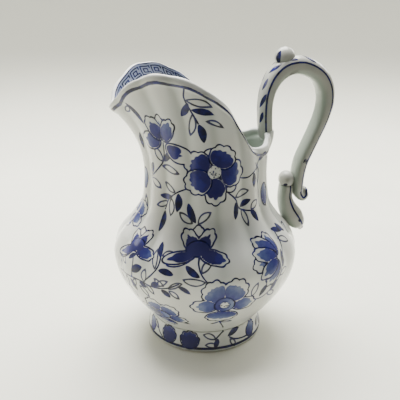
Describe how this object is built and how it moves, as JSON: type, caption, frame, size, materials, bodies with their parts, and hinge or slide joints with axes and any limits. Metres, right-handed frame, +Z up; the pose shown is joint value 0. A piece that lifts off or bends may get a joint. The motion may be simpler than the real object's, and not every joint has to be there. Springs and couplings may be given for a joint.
{
  "type": "cream jug",
  "caption": "Small lobed jug with a flared pouring lip, a turned foot ring and a high looped strap handle topped by a thumb knob.",
  "frame": {"origin": "centre of the whole jug's footprint box, on the surface that it stands on", "axes": "+Z up along the pot's axis; -X towards the tip of the pouring lip, +X towards the handle; the jug is alike on both sides of the XZ plane, apart from a slight turn of its lobes"},
  "size_m": [0.1098, 0.0922, 0.143],
  "materials": {
    "body_glaze": "glossy glazed white porcelain with blue floral painting",
    "foot_glaze": "glazed porcelain, unglazed under the standing edge",
    "strap_glaze": "glossy glazed white porcelain with blue leaves and edge lines",
    "root_glaze": "glossy glazed white porcelain",
    "scroll_glaze": "glossy glazed porcelain with a blue edge line",
    "stem_glaze": "glossy glazed porcelain with a pale blue wash",
    "knob_glaze": "glossy glazed white porcelain with a dark painted mark",
    "bead_glaze": "glossy glazed porcelain with a small dark dot"
  },
  "bodies": {
    "root": {"body": "body_glaze", "foot_ring": "foot_glaze", "handle_strap": "strap_glaze", "handle_root": "root_glaze", "scroll_tail": "scroll_glaze", "lower_stem": "stem_glaze", "thumb_knob": "knob_glaze", "inner_bead": "bead_glaze"}
  },
  "joints": []
}
